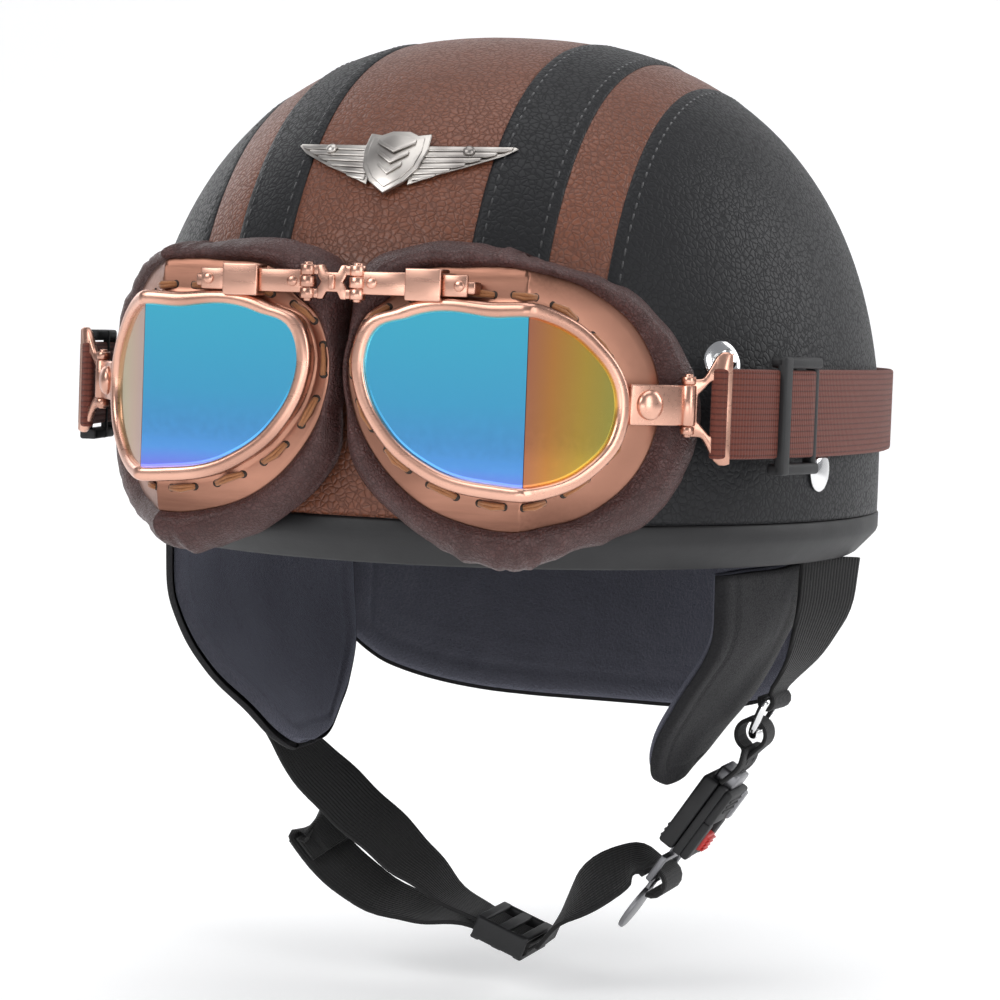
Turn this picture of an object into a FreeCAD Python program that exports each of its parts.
"""Half-shell leather motorcycle helmet with split-lens goggles, ear flaps and a chin strap.

Millimetres. +Z is up, the helmet faces -Y and +X is the wearer's left.
The origin is the middle of the head opening, level with the rim edge.
"""
import FreeCAD, Part
import math
import os

os.makedirs("parts", exist_ok=True)

# ---------------------------------------------------------------- driving sizes
SHELL_R = 114.0          # half width over the leather
CROWN_Z = 149.0          # top of the leather
DEPTH_RATIO = 1.171      # front-to-back half length over half width
WALL_TOP = 16.0          # the wall is upright below this height
ROUNDNESS = 2.35         # exponent of the dome's side view
LEATHER_T = 1.1
SHELL_T = 3.4
FOAM_T = 17.0
LAYER_GAP = 0.2
PAD_T = 7.5
RIM_Z = 6.0              # top of the rim trim
RIM_DROP = 7.0           # how far the trim hangs under the shell
STRIPE_X = (28.0, 47.0, 62.5)   # seams between the leather panels
SEAM_GAP = 0.3

LENS_Y = -150.0          # face of the front lens
SPLIT_X = 56.0           # where the front lens meets the side lens
SIDE_ANGLE = 49.0        # how far the side lens turns back
LENS_T = 1.2
FRAME_T = 1.0
BRIDGE_PIN_X = 7.2
BRIDGE_PIN_R = 1.2
CUSHION_GAP = 1.6        # cushion back to helmet leather

STRAP_LOW = 25.5
STRAP_HIGH = 50.5
STRAP_T = 1.8
STRAP_ARC_R = 299.6      # the strap's path beside the head, seen from above
STRAP_ARC_X = 115.5 - STRAP_ARC_R
STRAP_FRONT_Y = -104.5

FLAP_TOP = -9.5
CURTAIN_R = 99.8
CURTAIN_TOP = -4.4
COVER_T = 1.4
FLEECE_T = 4.0

CHIN_AXIS_Y = 0.0        # chin strap hangs from rings on this line
CHIN_AXIS_Z = -52.0
RING_X = 88.0
WEB_T = 1.6
WEB_W = 20.0

X_AXIS = FreeCAD.Vector(1, 0, 0)
Y_AXIS = FreeCAD.Vector(0, 1, 0)
Z_AXIS = FreeCAD.Vector(0, 0, 1)
ORIGIN = FreeCAD.Vector(0, 0, 0)
FAR = 300.0              # larger than the helmet


def vec(x, y, z):
    return FreeCAD.Vector(x, y, z)


# ---------------------------------------------------------------- shape helpers
def box(x0, x1, y0, y1, z0, z1):
    return Part.makeBox(x1 - x0, y1 - y0, z1 - z0, vec(x0, y0, z0))


def rod(start, direction, radius, length):
    return Part.makeCylinder(radius, length, start, direction)


def tube_path(points, radius, closed=False):
    """A round bar along straight runs, with a ball at each corner."""
    runs = list(zip(points, points[1:] + points[:1])) if closed else list(zip(points, points[1:]))
    pieces = [rod(a, b - a, radius, (b - a).Length) for a, b in runs]
    corners = points if closed else points[1:-1]
    pieces += [Part.makeSphere(radius, p) for p in corners]
    return pieces[0].fuse(pieces[1:])


def smooth_outline(points, place):
    """A closed smooth curve through flat points; place turns (u, v) into a vector."""
    curve = Part.BSplineCurve()
    curve.interpolate([place(u, v) for u, v in points], PeriodicFlag=True)
    return Part.Face(Part.Wire([curve.toShape()]))


def straight_outline(points, place):
    corners = [place(u, v) for u, v in points]
    return Part.Face(Part.makePolygon(corners + corners[:1]))


def mirror_x(shape):
    return shape.mirror(ORIGIN, X_AXIS)


def stretch_y(shape):
    matrix = FreeCAD.Matrix()
    matrix.scale(1.0, DEPTH_RATIO, 1.0)
    return shape.transformGeometry(matrix)


def joined(shapes):
    return Part.makeCompound(shapes)


def save(name, shape):
    solids = shape.Solids
    result = solids[0] if len(solids) == 1 else Part.makeCompound(solids)
    result.exportStep("parts/" + name + ".step")


def save_pair(name, shape_left):
    """Write the wearer's left piece and its mirror image on the right."""
    save(name + "_left", shape_left)
    save(name + "_right", mirror_x(shape_left))


# ---------------------------------------------------------------- the dome
def dome_curve(inset):
    """Half of the helmet's side view, inset from the leather's face."""
    radius = SHELL_R - inset
    crown = CROWN_Z - inset
    rise = crown - WALL_TOP
    points = []
    steps = 14
    for i in range(steps + 1):
        t = 0.5 * math.pi * i / steps
        r = radius * math.cos(t) ** (2 / ROUNDNESS) if i < steps else 0.0
        z = WALL_TOP + rise * math.sin(t) ** (2 / ROUNDNESS)
        points.append(vec(r, 0, z))
    curve = Part.BSplineCurve()
    curve.interpolate(points, InitialTangent=Z_AXIS, FinalTangent=vec(-1, 0, 0))
    return curve.toShape()


def revolved(wire_edges):
    face = Part.Face(Part.Wire(wire_edges))
    return stretch_y(face.revolve(ORIGIN, Z_AXIS, 360))


def dome_layer(outer_inset, inner_inset, skirt):
    """A dome between two insets, closed below by the skirt's (r, z) points."""
    outer = dome_curve(outer_inset)
    inner = dome_curve(inner_inset)
    low_outer = vec(SHELL_R - outer_inset, 0, WALL_TOP)
    low_inner = vec(SHELL_R - inner_inset, 0, WALL_TOP)
    path = [low_outer] + [vec(r, 0, z) for r, z in skirt] + [low_inner]
    edges = [outer] + [Part.makeLine(a, b) for a, b in zip(path, path[1:])] + [inner]
    edges.append(Part.makeLine(vec(0, 0, CROWN_Z - inner_inset), vec(0, 0, CROWN_Z - outer_inset)))
    return revolved(Part.sortEdges(edges)[0])


def dome_solid(inset, bottom):
    edges = [dome_curve(inset)]
    path = [vec(SHELL_R - inset, 0, WALL_TOP), vec(SHELL_R - inset, 0, bottom), vec(0, 0, bottom),
            vec(0, 0, CROWN_Z - inset)]
    edges += [Part.makeLine(a, b) for a, b in zip(path, path[1:])]
    return revolved(Part.sortEdges(edges)[0])


def ring(profile):
    """An elliptical ring from an (r, z) outline."""
    points = [vec(r, 0, z) for r, z in profile]
    lines = [Part.makeLine(a, b) for a, b in zip(points, points[1:] + points[:1])]
    return revolved(lines)


SHELL_OUT = LEATHER_T + LAYER_GAP
SHELL_IN = SHELL_OUT + SHELL_T
FOAM_OUT = SHELL_IN + LAYER_GAP
FOAM_IN = FOAM_OUT + FOAM_T
LINING_OUT = FOAM_IN + LAYER_GAP
LINING_IN = LINING_OUT + 3.5
HEAD_R = SHELL_R - LINING_OUT - PAD_T

leather = dome_layer(0.0, LEATHER_T, [(SHELL_R, RIM_Z + 0.2), (SHELL_R - LEATHER_T, RIM_Z + 0.2)])
outer_shell = dome_layer(SHELL_OUT, SHELL_IN, [(SHELL_R - SHELL_OUT, 0), (SHELL_R - SHELL_IN, 0)])
foam_foot = -RIM_DROP + 3.0
foam_liner = dome_layer(FOAM_OUT, FOAM_IN, [(SHELL_R - FOAM_OUT, 0), (SHELL_R - FOAM_OUT - 3, foam_foot),
                                            (SHELL_R - FOAM_IN, foam_foot)])
crown_lining = dome_layer(LINING_OUT, LINING_IN, []).common(box(-FAR, FAR, -FAR, FAR, 46, FAR))
pad_r = SHELL_R - LINING_OUT
headband_pad = ring([(pad_r, 15.9), (pad_r, -5), (pad_r - 2, -6.5), (HEAD_R + 2, -6.5), (HEAD_R, -4),
                     (HEAD_R, 15.9)])

# ---------------------------------------------------------------- rivets and studs on the shell
ANCHOR_Y = -39.5
ANCHOR_Z = 21.0
ANCHOR_X = 107.0
ANCHOR_HEAD_R = 6.6
SNAP_AT = vec(89.2, -79.3, 52.0)
SNAP_DIRECTION = vec(0.77, -0.57, 0.27)
SNAP_R = 2.9
SNAP_FLANGE_R = 6.6
BADGE_Z = 105.0
BADGE_SPAN = 66.0


def anchor_rivet():
    outward = vec(0.985, -0.17, 0.0)
    centre = vec(ANCHOR_X, ANCHOR_Y, ANCHOR_Z)
    head = Part.makeSphere(9.0, centre + outward * -5.4)
    return head.common(rod(centre + outward * -3, outward, ANCHOR_HEAD_R, 12))


def visor_snap():
    flange = rod(SNAP_AT + SNAP_DIRECTION * -0.6, SNAP_DIRECTION, SNAP_FLANGE_R, 1.6)
    stud = rod(SNAP_AT + SNAP_DIRECTION * 1.0, SNAP_DIRECTION, SNAP_R, 2.5)
    return flange.fuse(stud)


leather_cover = dome_solid(-0.05, 0)
anchor_left = anchor_rivet().cut(leather_cover)
snap_left = visor_snap().cut(leather_cover)

# ---------------------------------------------------------------- leather panels
a, b, c = STRIPE_X
gap = SEAM_GAP / 2


def panel(x0, x1):
    return leather.common(box(x0, x1, -FAR, FAR, -FAR, FAR))


save("outer_shell", outer_shell)
save("foam_liner", foam_liner)
save("crown_lining", crown_lining)
save("headband_pad", headband_pad)
save("leather_panel_centre", panel(-a + gap, a - gap))
save("leather_stripes", joined([panel(a + gap, b - gap), panel(-b + gap, -a - gap)]))
save("leather_bands", joined([panel(b + gap, c - gap), panel(-c + gap, -b - gap)]))
save("leather_sides", joined([panel(c + gap, FAR), panel(-FAR, -c - gap)]))
save("strap_anchor_rivets", joined([anchor_left, mirror_x(anchor_left)]))
snap_left = max(snap_left.Solids, key=lambda solid: solid.Volume)
save("visor_snaps", joined([snap_left, mirror_x(snap_left)]))

trim_in = SHELL_R - SHELL_OUT + 0.1
rim_trim = ring([(trim_in, RIM_Z), (SHELL_R + 0.5, RIM_Z - 0.6), (SHELL_R + 0.5, 0), (107.5, -RIM_DROP),
                 (100.4, -RIM_DROP), (100.4, foam_foot - 0.2), (106.2, foam_foot - 0.2),
                 (SHELL_R - SHELL_IN, -0.2), (trim_in, -0.2)])
save("rim_trim", rim_trim)

# ---------------------------------------------------------------- winged badge
BADGE_T = 1.2
BADGE_LIFT = 0.3


def badge_outline():
    """Swept wings either side of a shield, as (x, z) about the middle."""
    half = BADGE_SPAN / 2
    right = [(0, 9.5), (5, 8.2), (9.0, 8.8), (10.5, 5.0), (half, 3.6), (half - 4, 1.2), (half - 8, -1.0),
             (half - 12, -3.0), (12, -5.2), (7, -8.2), (0, -11.5)]
    left = [(-x, z) for x, z in reversed(right[1:-1])]
    return straight_outline(right + left, lambda x, z: vec(x, -FAR / 2, BADGE_Z + z))


badge_prism = badge_outline().extrude(vec(0, FAR / 2, 0))
badge_outer = dome_solid(-BADGE_LIFT - BADGE_T, 0)
badge_inner = dome_solid(-BADGE_LIFT, -1)
wing_badge = badge_prism.common(badge_outer).cut(badge_inner)
rivet_prisms = [rod(vec(x, -FAR / 2, BADGE_Z + 2.2), Y_AXIS, 1.1, FAR / 2) for x in (-20.5, 20.5)]
rivet_shell = dome_solid(-BADGE_LIFT - BADGE_T - 0.9, 0).cut(badge_outer)
save("wing_badge", wing_badge)
save("badge_rivets", joined([prism.common(rivet_shell) for prism in rivet_prisms]))

# ---------------------------------------------------------------- goggle frames
turn = math.radians(SIDE_ANGLE)
SIDE_DIR = vec(math.cos(turn), math.sin(turn), 0)
SIDE_NORMAL = vec(-math.sin(turn), math.cos(turn), 0)   # points to the wearer

# every outline is (distance along the frame from the nose, height); past SPLIT_X it turns back
LENS_OUTLINE = [(9.7, 50.5), (13.1, 58.2), (22.0, 61.2), (44.0, 62.2), (60.0, 61.8), (74.0, 55.3),
                (83.5, 44.0), (82.5, 31.0), (74.0, 22.5), (60.0, 17.6), (46.0, 17.8), (30.0, 21.5),
                (17.5, 30.5), (11.0, 41.0)]
CENTRE_U = 47.0
CENTRE_V = 40.0


def grown(points, amount):
    """Push an outline away from the lens's middle by a set distance."""
    result = []
    for u, v in points:
        du, dv = u - CENTRE_U, v - CENTRE_V
        size = math.hypot(du, dv)
        result.append((u + du / size * amount, v + dv / size * amount))
    return result


BEZEL_OUTLINE = grown(LENS_OUTLINE, 3.3)
FLANGE_OUTLINE = [(2.6, 50.5), (7.0, 61.5), (14.0, 67.0), (18.0, 74.6), (36.0, 75.6), (58.0, 75.0),
                  (78.0, 69.5), (92.0, 57.5), (97.0, 43.0), (93.0, 25.0), (80.0, 12.0), (62.0, 6.4),
                  (42.0, 5.8), (25.0, 11.0), (11.0, 23.0), (3.6, 37.5)]


def folded(points, depth, thickness):
    """A plate of this outline, folded back at the split, its face at this depth behind the lens."""
    start_front = LENS_Y + depth
    front = smooth_outline(points, lambda u, v: vec(u, start_front, v)).extrude(vec(0, thickness, 0))
    corner = vec(SPLIT_X, LENS_Y, 0) + SIDE_NORMAL * depth

    def on_side(u, v):
        return corner + SIDE_DIR * (u - SPLIT_X) + vec(0, 0, v)

    side = smooth_outline(points, on_side).extrude(SIDE_NORMAL * thickness)
    cut_front, cut_side = split_halves()
    return front.common(cut_front), side.common(cut_side)


def split_halves():
    """Two big blocks that meet on the mitre plane through the split line."""
    normal = (SIDE_DIR + X_AXIS).normalize()
    across = Z_AXIS.cross(normal)
    centre = vec(SPLIT_X, LENS_Y, 0)
    face = Part.makePolygon([centre + across * s + vec(0, 0, z) for s, z in
                             ((-FAR, -FAR), (FAR, -FAR), (FAR, FAR), (-FAR, FAR), (-FAR, -FAR))])
    plane = Part.Face(face)
    return plane.extrude(normal * -FAR), plane.extrude(normal * FAR)


def folded_joined(points, depth, thickness):
    front, side = folded(points, depth, thickness)
    return front.fuse(side)


LENS_DEPTH = 0.6
lens_front, lens_side = folded(grown(LENS_OUTLINE, -0.15), LENS_DEPTH, LENS_T)
bezel = folded_joined(BEZEL_OUTLINE, 0.0, 2.6).cut(folded_joined(LENS_OUTLINE, -5.0, 12.0))
flange_depth = 6.0
flange_plate = folded_joined(FLANGE_OUTLINE, flange_depth, FRAME_T)
waist_outline = grown(LENS_OUTLINE, 2.2)
waist_hole = folded_joined(grown(LENS_OUTLINE, 1.0), -5.0, 20.0)
waist = folded_joined(waist_outline, 2.7, flange_depth - 2.7 + FRAME_T)
lens_frame = flange_plate.fuse(waist).cut(waist_hole)


def frame_point(u, v, depth):
    if u <= SPLIT_X:
        return vec(u, LENS_Y + depth, v)
    return vec(SPLIT_X, LENS_Y, 0) + SIDE_NORMAL * depth + SIDE_DIR * (u - SPLIT_X) + vec(0, 0, v)


def outline_length_points(points, count, phase):
    """Evenly spaced (u, v) places round a smooth outline, with the outward direction."""
    curve = Part.BSplineCurve()
    curve.interpolate([vec(u, v, 0) for u, v in points], PeriodicFlag=True)
    edge = curve.toShape()
    places = []
    for i in range(count):
        p = edge.valueAt(edge.getParameterByLength(edge.Length * ((i + phase) % count) / count))
        places.append((p.x, p.y))
    return places


LACE_COUNT = 22
HOLE_R = 1.1
LACE_R = 0.85
lace_line = grown(FLANGE_OUTLINE, -4.6)
lace_places = [p for p in outline_length_points(lace_line, 2 * LACE_COUNT, 0.5)
               if not (p[1] > 62 and p[0] < 42) and abs(p[0] - SPLIT_X) > 2.5 and p[0] < 91]
holes = []
for u, v in lace_places:
    direction = Y_AXIS if u <= SPLIT_X else SIDE_NORMAL
    holes.append(rod(frame_point(u, v, flange_depth - 3), direction, HOLE_R, 6))
lens_frame = lens_frame.cut(holes)
stitches = []
for (u0, v0), (u1, v1) in zip(lace_places[0::2], lace_places[1::2]):
    if math.hypot(u1 - u0, v1 - v0) < 12 and (u0 - SPLIT_X) * (u1 - SPLIT_X) > 0:
        lift = flange_depth - LACE_R - 0.1
        ends = [frame_point(u0, v0, flange_depth + FRAME_T), frame_point(u0, v0, lift),
                frame_point(u1, v1, lift), frame_point(u1, v1, flange_depth + FRAME_T)]
        stitches.append(tube_path(ends, LACE_R))
save_pair("lens_front", lens_front)
save_pair("lens_side", lens_side)
save_pair("lens_bezel", bezel)

# ---------------------------------------------------------------- bridge between the frames
BRIDGE_Z = 69.8
pin_left = rod(vec(BRIDGE_PIN_X, LENS_Y, BRIDGE_Z - 6), Z_AXIS, BRIDGE_PIN_R, 12)
KNUCKLE_R = 2.3
KNUCKLE_H = 3.6
KNUCKLE_GAP = 0.25


def knuckle(z0, z1):
    outside = rod(vec(BRIDGE_PIN_X, LENS_Y, z0), Z_AXIS, KNUCKLE_R, z1 - z0)
    return outside


pin_bore = rod(vec(BRIDGE_PIN_X, LENS_Y, BRIDGE_Z - 20), Z_AXIS, BRIDGE_PIN_R + 0.05, 40)
link_z = BRIDGE_Z - KNUCKLE_H / 2
link_arm = box(-BRIDGE_PIN_X, BRIDGE_PIN_X, LENS_Y - 0.7, LENS_Y + 0.7, link_z, link_z + KNUCKLE_H)
link_plate = box(-4.0, 4.0, LENS_Y - 0.7, LENS_Y + 0.7, BRIDGE_Z - 4.6, BRIDGE_Z + 4.6)
link_notch = [rod(vec(0, LENS_Y - 2, BRIDGE_Z + s * 5.2), Y_AXIS, 2.4, 4) for s in (-1, 1)]
bridge_link = link_arm.fuse([link_plate, knuckle(link_z, link_z + KNUCKLE_H),
                             mirror_x(knuckle(link_z, link_z + KNUCKLE_H))])
bridge_link = bridge_link.cut([pin_bore, mirror_x(pin_bore)] + link_notch)
save("bridge_link", bridge_link)
save("bridge_pins", joined([pin_left, mirror_x(pin_left)]))

strip_low = link_z - KNUCKLE_GAP
strip_high = link_z + KNUCKLE_H + KNUCKLE_GAP
strip = box(BRIDGE_PIN_X, 34.0, LENS_Y - 0.7, LENS_Y + 0.5, BRIDGE_Z - 3.2, BRIDGE_Z + 3.2)
fork = [knuckle(BRIDGE_Z - 5.0, strip_low), knuckle(strip_high, BRIDGE_Z + 5.0)]
room = rod(vec(BRIDGE_PIN_X, LENS_Y, strip_low), Z_AXIS, KNUCKLE_R + 0.3, strip_high - strip_low)
room = room.fuse(box(-2, BRIDGE_PIN_X + 0.5, LENS_Y - 3, LENS_Y + 3, strip_low, strip_high))
bridge_strip = strip.fuse(fork).cut([room, pin_bore])
clasp = box(21.0, 31.5, LENS_Y - 2.2, LENS_Y + 5.8, BRIDGE_Z - 4.3, BRIDGE_Z + 4.3)
clasp_slot = box(20, 33, LENS_Y - 0.8, LENS_Y + 0.6, BRIDGE_Z - 3.3, BRIDGE_Z + 3.3)
bridge_clasp = clasp.cut(clasp_slot)
bar = box(33.0, 50.0, LENS_Y - 0.6, LENS_Y + 5.9, BRIDGE_Z - 3.0, BRIDGE_Z + 2.0)
strip_rivet = rod(vec(34.9, LENS_Y - 1.5, BRIDGE_Z + 0.4), Y_AXIS, 1.6, 0.8)
lens_frame = lens_frame.cut(box(-10, BRIDGE_PIN_X + 3.0, -200, -100, 60, 90))
save_pair("bridge_strip", bridge_strip)
save_pair("bridge_clasp", bridge_clasp.common(box(0, FAR, LENS_Y - 9, LENS_Y + 5.9, 0, FAR)))
save_pair("lens_frame", lens_frame)
lacing_room = folded_joined(FLANGE_OUTLINE, flange_depth - 0.05, FRAME_T + 3).fuse(lens_frame)
save_pair("lacing", joined(stitches).cut(lacing_room))

# ---------------------------------------------------------------- strap tab, buckle plate and cushion
TAB_Z = 40.0
TAB_HALF = 5.6


def plate_between(start, direction, length, low, high, normal, thickness):
    side = direction * length
    corner = start + vec(0, 0, low - start.z)
    face = Part.Face(Part.makePolygon([corner, corner + side, corner + side + vec(0, 0, high - low),
                                       corner + vec(0, 0, high - low), corner]))
    return face.extrude(normal * thickness)


tab_start = frame_point(88.6, 0, flange_depth - 1.6)
TAB_PIN = vec(88.5, -110.0, 0)
TAB_REACH = (TAB_PIN - tab_start).Length
TAB_DIR = (TAB_PIN - tab_start).normalize()
TAB_NORMAL = Z_AXIS.cross(TAB_DIR)
tab_plate = plate_between(tab_start, TAB_DIR, TAB_REACH - 1.0, TAB_Z - TAB_HALF, TAB_Z + TAB_HALF,
                          TAB_NORMAL, 1.2)
TAB_PIN_R = 1.25
tab_pin = rod(vec(TAB_PIN.x, TAB_PIN.y, TAB_Z - 14.5), Z_AXIS, TAB_PIN_R, 29)
tab_eye = rod(vec(TAB_PIN.x, TAB_PIN.y, TAB_Z - TAB_HALF), Z_AXIS, 2.3, 2 * TAB_HALF)
strap_tab = tab_plate.fuse([tab_eye, tab_pin])
rivet_at = tab_start + TAB_DIR * 4.4 + vec(0, 0, TAB_Z) - TAB_NORMAL * 0.05
tab_rivet = Part.makeSphere(5.2, rivet_at + TAB_NORMAL * 3.4).common(rod(rivet_at, TAB_NORMAL * -1, 4.0, 4))
save_pair("strap_tab", strap_tab)
save_pair("frame_rivets", joined([strip_rivet, tab_rivet]))

BUCKLE_DIR = vec(0.849, 0.529, 0)
BUCKLE_NORMAL = Z_AXIS.cross(BUCKLE_DIR)
buckle_start = vec(TAB_PIN.x, TAB_PIN.y, 0) - BUCKLE_NORMAL * 0.7
BUCKLE_L = 8.8


def buckle_point(s, z):
    return buckle_start + BUCKLE_DIR * s + vec(0, 0, z)


plate_outline = [(0.0, TAB_Z - 13.6), (0.0, TAB_Z + 13.6), (BUCKLE_L, TAB_Z + 11.0), (BUCKLE_L, TAB_Z - 15.0)]
buckle_plate = straight_outline(plate_outline, buckle_point).extrude(BUCKLE_NORMAL * 1.4)
window = straight_outline([(3.0, TAB_Z - 9), (3.0, TAB_Z + 9.0), (6.6, TAB_Z + 7), (6.6, TAB_Z - 10.5)],
                          lambda s, z: buckle_point(s, z) - BUCKLE_NORMAL * 3).extrude(BUCKLE_NORMAL * 8)
barrel = rod(vec(TAB_PIN.x, TAB_PIN.y, TAB_Z - 13.6), Z_AXIS, 2.3, 27.2)
barrel_bore = rod(vec(TAB_PIN.x, TAB_PIN.y, TAB_Z - 20), Z_AXIS, TAB_PIN_R + 0.05, 40)
tab_room = rod(vec(TAB_PIN.x, TAB_PIN.y, TAB_Z - TAB_HALF - 0.4), Z_AXIS, 3.4, 2 * TAB_HALF + 0.8)
strap_buckle = buckle_plate.fuse(barrel).cut([window, barrel_bore, tab_room])
save_pair("strap_buckle", strap_buckle)

CUSHION_OUTLINE = [(1.2, 71.0), (6.0, 76.5), (16.0, 80.5), (40.0, 81.2), (58.0, 79.0), (72.0, 74.0),
                   (79.0, 63.0), (82.5, 50.0), (83.5, 36.0), (81.5, 20.0), (76.0, 8.0), (66.0, 0.0),
                   (50.0, -4.0), (34.0, -2.0), (18.0, 7.0), (1.2, 21.0)]
CUSHION_FACE = flange_depth + FRAME_T + 0.4
cushion_front = straight_outline(CUSHION_OUTLINE, lambda x, z: vec(x, LENS_Y + CUSHION_FACE, z))
cushion_front = cushion_front.extrude(vec(0, 110, 0))
side_block = plate_between(frame_point(SPLIT_X, 0, CUSHION_FACE), SIDE_DIR, 200, -60, 140, SIDE_NORMAL, 200)
front_block = box(1.2, FAR, LENS_Y + CUSHION_FACE, 0, -60, 140)
split_front, split_side = split_halves()
cushion_blocks = front_block.common(split_front).fuse(side_block.common(split_side))
goggle_cushion = cushion_front.common(cushion_blocks)
goggle_cushion = goggle_cushion.cut([dome_solid(-CUSHION_GAP, -40)])
eye_hole = straight_outline([(13, 50), (20, 58), (56, 60), (72, 54), (80, 42), (72, 26), (56, 20), (32, 22),
                             (18, 32)], lambda x, z: vec(x, -FAR, z)).extrude(vec(0, FAR - 100, 0))
goggle_cushion = goggle_cushion.cut([eye_hole, lens_frame, joined(stitches), strap_tab])
save_pair("goggle_cushion", max(goggle_cushion.Solids, key=lambda s: s.Volume))

# ---------------------------------------------------------------- elastic strap and sliders


def strap_band(extra, z0, z1, y_from, y_to):
    """A stretch of the strap's side arc, thickened by extra each way."""
    middle = vec(STRAP_ARC_X, 0, z0)
    outer = Part.makeCylinder(STRAP_ARC_R + STRAP_T + extra, z1 - z0, middle)
    inner = Part.makeCylinder(STRAP_ARC_R - extra, z1 - z0, middle)
    return outer.cut(inner).common(box(60, FAR, y_from, y_to, z0, z1))


rear_outer = stretch_y(Part.makeCylinder(STRAP_ARC_R + STRAP_ARC_X + STRAP_T, STRAP_HIGH - STRAP_LOW,
                                         vec(0, 0, STRAP_LOW)))
rear_inner = stretch_y(Part.makeCylinder(STRAP_ARC_R + STRAP_ARC_X, STRAP_HIGH - STRAP_LOW,
                                         vec(0, 0, STRAP_LOW)))
rear_strap = rear_outer.cut(rear_inner).common(box(-FAR, FAR, 0, FAR, -FAR, FAR))
side_strap = strap_band(0, STRAP_LOW, STRAP_HIGH, STRAP_FRONT_Y, 0)
elastic_strap = rear_strap.fuse([side_strap, mirror_x(side_strap)])
save("elastic_strap", elastic_strap)

SLIDER_Y = -72.0
SLIDER_HALF = 12.5
SLIDER_LOW = 20.5
SLIDER_HIGH = 54.5
body = strap_band(2.4, SLIDER_LOW, SLIDER_HIGH, SLIDER_Y - SLIDER_HALF, SLIDER_Y + SLIDER_HALF)
strap_room = strap_band(0.35, STRAP_LOW - 0.5, STRAP_HIGH + 0.5, SLIDER_Y - 20, SLIDER_Y + 20)
windows = [box(60, FAR, SLIDER_Y - 9, SLIDER_Y - 2.2, STRAP_LOW - 0.5, STRAP_HIGH + 0.5),
           box(60, FAR, SLIDER_Y + 2.2, SLIDER_Y + 9, STRAP_LOW - 0.5, STRAP_HIGH + 0.5)]
strap_adjuster = body.cut([strap_room] + windows).cut(dome_solid(-0.3, 0))
save_pair("strap_adjuster", max(strap_adjuster.Solids, key=lambda s: s.Volume))

# ---------------------------------------------------------------- strap keeper at the back
STRAP_REAR_Y = (STRAP_ARC_R + STRAP_ARC_X + STRAP_T) * DEPTH_RATIO
KEEPER_HALF = 11.0
KEEPER_T = 1.6
KEEPER_HINGE_Z = 59.0
keeper_face = STRAP_REAR_Y + 0.9
keeper = box(-KEEPER_HALF, KEEPER_HALF, keeper_face, keeper_face + KEEPER_T, 14.0, KEEPER_HINGE_Z)
save("keeper_flap", keeper)
keeper_root = box(-KEEPER_HALF, KEEPER_HALF, 120, keeper_face + KEEPER_T, KEEPER_HINGE_Z + 0.6, 70)
snap_button = rod(vec(0, keeper_face + KEEPER_T + 0.05, 19.5), Y_AXIS, 6.2, 1.3)
save("keeper_button", snap_button)
stud_post = rod(vec(0, 126, 19.5), Y_AXIS, 4.0, keeper_face - 126.3)
save("keeper_fixings", joined([keeper_root.cut(dome_solid(-0.1, 0)), stud_post.cut(dome_solid(-0.1, 0))]))

# ---------------------------------------------------------------- ear flaps
# each level: height, front y, rear y, outer x at the front, middle and rear
FLAP_LEVELS = [(FLAP_TOP, -67, 60, 88.0, 97.4, 81.0), (-30, -65, 58, 88.0, 93.0, 78.5),
               (-50, -60, 48, 77.0, 81.5, 73.0), (-64, -50, 28, 67.5, 71.5, 67.5),
               (-74, -36, 8, 62.5, 65.0, 63.5)]


def flap_section(level, outset, inset, margin):
    """A curved bar seen from above: outer arc, inner arc and two short ends."""
    z, y0, y1, x0, xm, x1 = level
    y0, y1 = y0 + margin, y1 - margin
    ym = (y0 + y1) / 2
    outer = [vec(x0 - outset, y0, z), vec(xm - outset, ym, z), vec(x1 - outset, y1, z)]
    inner = [vec(x1 - inset, y1, z), vec(xm - inset, ym, z), vec(x0 - inset, y0, z)]
    return Part.Wire([Part.Arc(*outer).toShape(), Part.makeLine(outer[2], inner[0]),
                      Part.Arc(*inner).toShape(), Part.makeLine(inner[2], outer[0])])


def flap(outset, inset, margin, foot):
    levels = FLAP_LEVELS + [(foot, -26, -4, 61.5, 62.6, 61.8)]
    return Part.makeLoft([flap_section(level, outset, inset, margin) for level in levels], True)


save_pair("ear_flap_cover", flap(0, COVER_T, 0, -78.5))
save_pair("ear_flap_fleece", flap(COVER_T + 0.05, COVER_T + 0.05 + FLEECE_T, 1.2, -77.5))

# ---------------------------------------------------------------- neck curtain
arch = Part.makePolygon([vec(-FAR, 62, CURTAIN_TOP), vec(-FAR, 150, CURTAIN_TOP), vec(-FAR, 150, -72.5),
                         vec(-FAR, 114, -72.0), vec(-FAR, 98, -68.0), vec(-FAR, 80, -60.0),
                         vec(-FAR, 62, -47.0), vec(-FAR, 62, CURTAIN_TOP)])
arch_prism = Part.Face(arch).extrude(vec(2 * FAR, 0, 0))


def curtain(radius, thickness):
    tall = 80
    outer = Part.makeCylinder(radius, tall, vec(0, 0, CURTAIN_TOP - tall))
    inner = Part.makeCylinder(radius - thickness, tall, vec(0, 0, CURTAIN_TOP - tall))
    return stretch_y(outer.cut(inner)).common(arch_prism)


save("neck_curtain_cover", curtain(CURTAIN_R, COVER_T))
save("neck_curtain_fleece", curtain(CURTAIN_R - COVER_T - 0.05, FLEECE_T))

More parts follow.
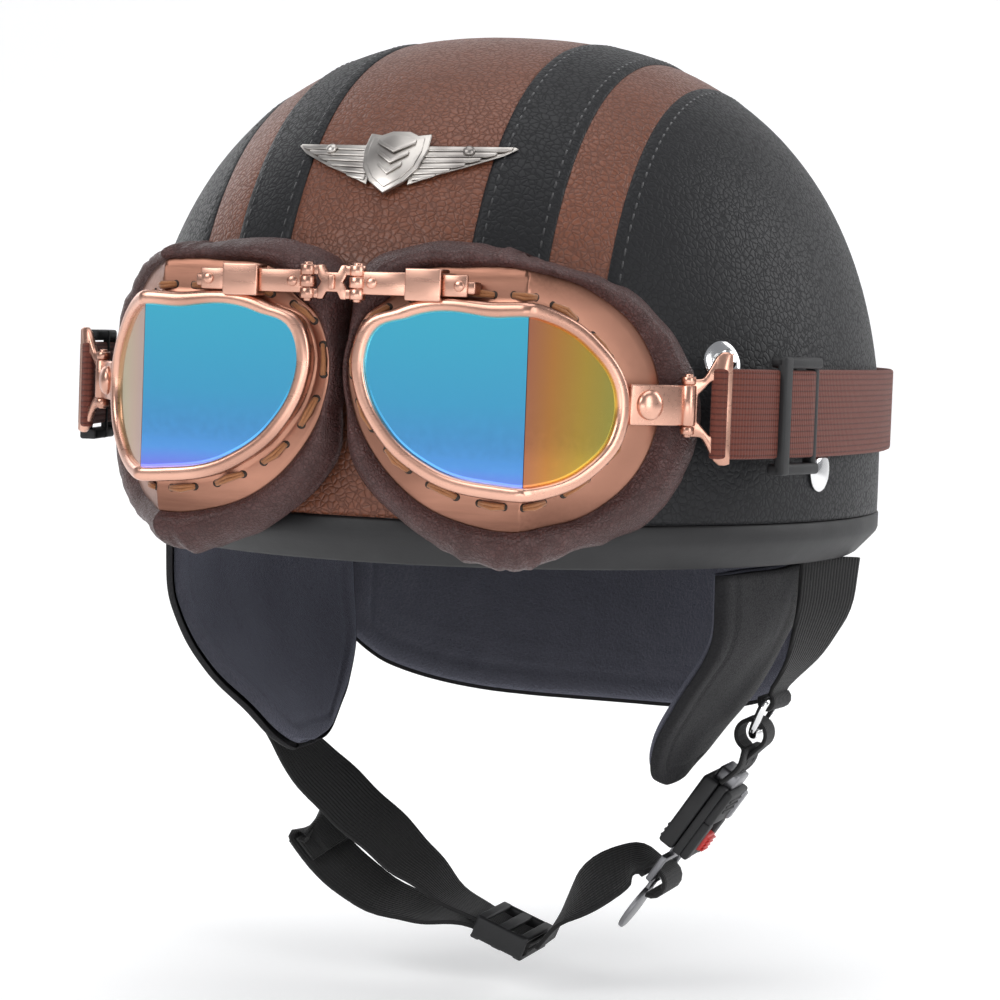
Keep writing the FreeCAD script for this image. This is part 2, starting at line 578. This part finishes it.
# ---------------------------------------------------------------- chin strap
def band(points, y0, y1, thickness, rounding):
    """Flat webbing: straight runs through (x, z) points with rounded bends, y0 to y1 wide."""
    face_parts = []
    for (xa, za), (xb, zb) in zip(points, points[1:]):
        length = math.hypot(xb - xa, zb - za)
        nx, nz = -(zb - za) / length * thickness / 2, (xb - xa) / length * thickness / 2
        corners = [vec(xa + nx, y0, za + nz), vec(xb + nx, y0, zb + nz), vec(xb - nx, y0, zb - nz),
                   vec(xa - nx, y0, za - nz)]
        face_parts.append(Part.Face(Part.makePolygon(corners + corners[:1])).extrude(vec(0, y1 - y0, 0)))
    for x, z in points[1:-1]:
        face_parts.append(rod(vec(x, y0, z), Y_AXIS, thickness / 2 * rounding, y1 - y0))
    return face_parts[0].fuse(face_parts[1:]).removeSplitter()


# straps that hang from the rim, outside the ear flaps, down to the metal rings
RING_R = 1.4
RING_HALF = 11.0
web_low, web_high = CHIN_AXIS_Y - RING_HALF + 3.6, CHIN_AXIS_Y + RING_HALF - 3.6
hang = [(102.6, -RIM_DROP - 0.3), (101.5, -22), (95.5, -38), (RING_X + 0.6, CHIN_AXIS_Z + 3.4)]
side_web = band(hang, web_low, web_high, WEB_T, 1.0)
ring_points = [vec(RING_X, CHIN_AXIS_Y - RING_HALF, CHIN_AXIS_Z), vec(RING_X, CHIN_AXIS_Y + RING_HALF, CHIN_AXIS_Z),
               vec(RING_X - 4.5, CHIN_AXIS_Y + 6, CHIN_AXIS_Z - 10), vec(RING_X - 5.5, CHIN_AXIS_Y, CHIN_AXIS_Z - 11.5),
               vec(RING_X - 4.5, CHIN_AXIS_Y - 6, CHIN_AXIS_Z - 10)]
d_ring = tube_path(ring_points, RING_R, closed=True)
web_eye = rod(vec(RING_X, web_low, CHIN_AXIS_Z), Y_AXIS, RING_R + 0.3 + WEB_T, web_high - web_low)
web_eye_bore = rod(vec(RING_X, web_low - 1, CHIN_AXIS_Z), Y_AXIS, RING_R + 0.3, web_high - web_low + 2)
side_strap_left = side_web.fuse(web_eye).cut(web_eye_bore)
save("side_straps", joined([side_strap_left, mirror_x(side_strap_left)]))
save("d_rings", joined([d_ring, mirror_x(d_ring)]))

# the chin strap: a loop round each ring, webbing, slider and quick-release buckle
LOOP_X = RING_X - 5.5
LOOP_Z = CHIN_AXIS_Z - 11.0
LOOP_BORE_R = 4.0
LOOP_W = 10.0
web_y0, web_y1 = CHIN_AXIS_Y - WEB_W / 2, CHIN_AXIS_Y + WEB_W / 2


def ring_loop():
    start = vec(LOOP_X, CHIN_AXIS_Y - LOOP_W / 2, LOOP_Z)
    outside = rod(start, Y_AXIS, LOOP_BORE_R + WEB_T, LOOP_W)
    return outside.cut(rod(start - Y_AXIS, Y_AXIS, LOOP_BORE_R, LOOP_W + 2))


SLIDER_ANGLE = 20.0
SLIDER_MID = (6.0, -131.9)
slope = math.radians(SLIDER_ANGLE)


def slider_point(along, above):
    return (SLIDER_MID[0] + along * math.cos(slope) + above * math.sin(slope),
            SLIDER_MID[1] - along * math.sin(slope) + above * math.cos(slope))


loop_foot = LOOP_Z - LOOP_BORE_R - WEB_T / 2
right_route = [(-LOOP_X, loop_foot), (-77.0, -73.5), (-71.0, -80.0), (-61.0, -88.5), (-33.0, -110.5),
               (-15.0, -123.0), slider_point(-10.5, 0.0), slider_point(9.5, 0.0)]
right_web = band(right_route, web_y0, web_y1, WEB_T, 1.0)
save("chin_webbing", right_web.fuse(mirror_x(ring_loop())))

tail_route = [slider_point(9.5, -2.1), slider_point(-10.5, -2.1), (-20.0, -129.0), (-40.0, -124.5),
              (-56.0, -115.5), (-65.0, -105.5)]
save("strap_tail", band(tail_route, web_y0, web_y1, WEB_T, 1.0))

slider_box = box(-9, 9, -WEB_W / 2 - 3.0, WEB_W / 2 + 3.0, -4.9, 2.8)
slider_room = box(-10, 10, -WEB_W / 2 - 0.4, WEB_W / 2 + 0.4, -3.4, 1.3)
slider_windows = [box(x0, x0 + 4.6, -WEB_W / 2 - 0.4, WEB_W / 2 + 0.4, -6, 4) for x0 in (-6.6, 2.0)]
strap_slider = slider_box.cut([slider_room] + slider_windows)
strap_slider.rotate(ORIGIN, Y_AXIS, SLIDER_ANGLE)
strap_slider.translate(vec(SLIDER_MID[0], CHIN_AXIS_Y, SLIDER_MID[1]))
save("strap_slider", strap_slider)

# buckle pieces are drawn upright at the origin, long axis along -Z, outer face towards +X
BUCKLE_TOP = vec(74.5, CHIN_AXIS_Y, -78.5)
BUCKLE_LEAN = 33.7       # degrees that the buckle's long axis leans under the chin
HOUSING_L = 26.0
HOUSING_HALF_W = 10.0
HOUSING_HALF_T = 5.5
TONGUE_HALF_W = 5.0
TONGUE_T = 2.0


def place_buckle(shape):
    shape.rotate(ORIGIN, Y_AXIS, BUCKLE_LEAN)
    shape.translate(BUCKLE_TOP)
    return shape


def buckle_local(s, across):
    lean = math.radians(BUCKLE_LEAN)
    return (BUCKLE_TOP.x - s * math.sin(lean) + across * math.cos(lean),
            BUCKLE_TOP.z - s * math.cos(lean) - across * math.sin(lean))


housing = box(-HOUSING_HALF_T, HOUSING_HALF_T, -HOUSING_HALF_W, HOUSING_HALF_W, -HOUSING_L, 0)
housing = housing.makeChamfer(1.2, [e for e in housing.Edges if e.Length > HOUSING_L - 1])
tongue_slot = box(-TONGUE_T / 2 - 0.3, TONGUE_T / 2 + 0.3, -TONGUE_HALF_W - 0.3, TONGUE_HALF_W + 0.3,
                  -HOUSING_L - 1, -8)
button_pocket = box(HOUSING_HALF_T - 2.8, HOUSING_HALF_T + 2, -4.3, 4.3, -HOUSING_L + 3.0, -HOUSING_L + 13.0)
button = box(HOUSING_HALF_T - 2.5, HOUSING_HALF_T + 1.6, -4.0, 4.0, -HOUSING_L + 3.3, -HOUSING_L + 9.3)
ribs = [box(HOUSING_HALF_T + 1.0, HOUSING_HALF_T + 2, -5, 5, z, z + 0.7)
        for z in (-HOUSING_L + 4.4, -HOUSING_L + 5.9, -HOUSING_L + 7.4)]
save("buckle_housing", place_buckle(housing.cut([tongue_slot, button_pocket])))
save("release_button", place_buckle(button.cut(ribs)))

FRAME_TOP = -HOUSING_L - 2.0
FRAME_H = 9.5
blade = box(-TONGUE_T / 2, TONGUE_T / 2, -TONGUE_HALF_W, TONGUE_HALF_W, FRAME_TOP - 1, -10)
latch_hole = box(-3, 3, -2.0, 2.0, -HOUSING_L + 4.0, -HOUSING_L + 9.0)
loop_frame = box(-TONGUE_T / 2, TONGUE_T / 2, -13, 13, FRAME_TOP - FRAME_H, FRAME_TOP)
web_slot = box(-3, 3, -WEB_W / 2 - 0.4, WEB_W / 2 + 0.4, FRAME_TOP - FRAME_H + 2.2, FRAME_TOP - 2.2)

leaf_r = 6.5
leaf_z = FRAME_TOP - FRAME_H - 1.6
leaf = rod(vec(-0.8, 0, leaf_z - 12), X_AXIS, leaf_r, 1.6)
leaf = leaf.fuse(box(-0.8, 0.8, -3.0, 3.0, leaf_z - 9, leaf_z))
leaf = leaf.fuse(rod(vec(0, -3.0, leaf_z), Y_AXIS, 1.2, 6.0))
leaf_pin = rod(vec(0, -5.4, leaf_z), Y_AXIS, 0.6, 10.8)
leaf_ears = [rod(vec(0, y, leaf_z), Y_AXIS, 1.2, 1.8).fuse(box(-0.9, 0.9, y, y + 1.8, leaf_z, leaf_z + 1.8))
             for y in (-5.2, 3.4)]
save("adjuster_tab", place_buckle(leaf.cut(rod(vec(0, -9, leaf_z), Y_AXIS, 0.65, 18))))
tongue = blade.cut(latch_hole).fuse([loop_frame.cut(web_slot), leaf_pin] + leaf_ears)
save("buckle_tongue", place_buckle(tongue))

left_route = [(LOOP_X, loop_foot), (80.5, -74.0), buckle_local(-1.0, 0.0)]
save("buckle_webbing", band(left_route, web_y0, web_y1, WEB_T, 1.0).fuse(ring_loop()))

bar_x, bar_z = buckle_local(-FRAME_TOP + FRAME_H - 1.1, -2.2)
lower_route = [slider_point(11.8, 0.4), (22.0, -125.5), (34.4, -113.5), (bar_x - 6.0, bar_z + 1.5), (bar_x, bar_z)]
save("lower_webbing", band(lower_route, web_y0, web_y1, WEB_T, 1.0))
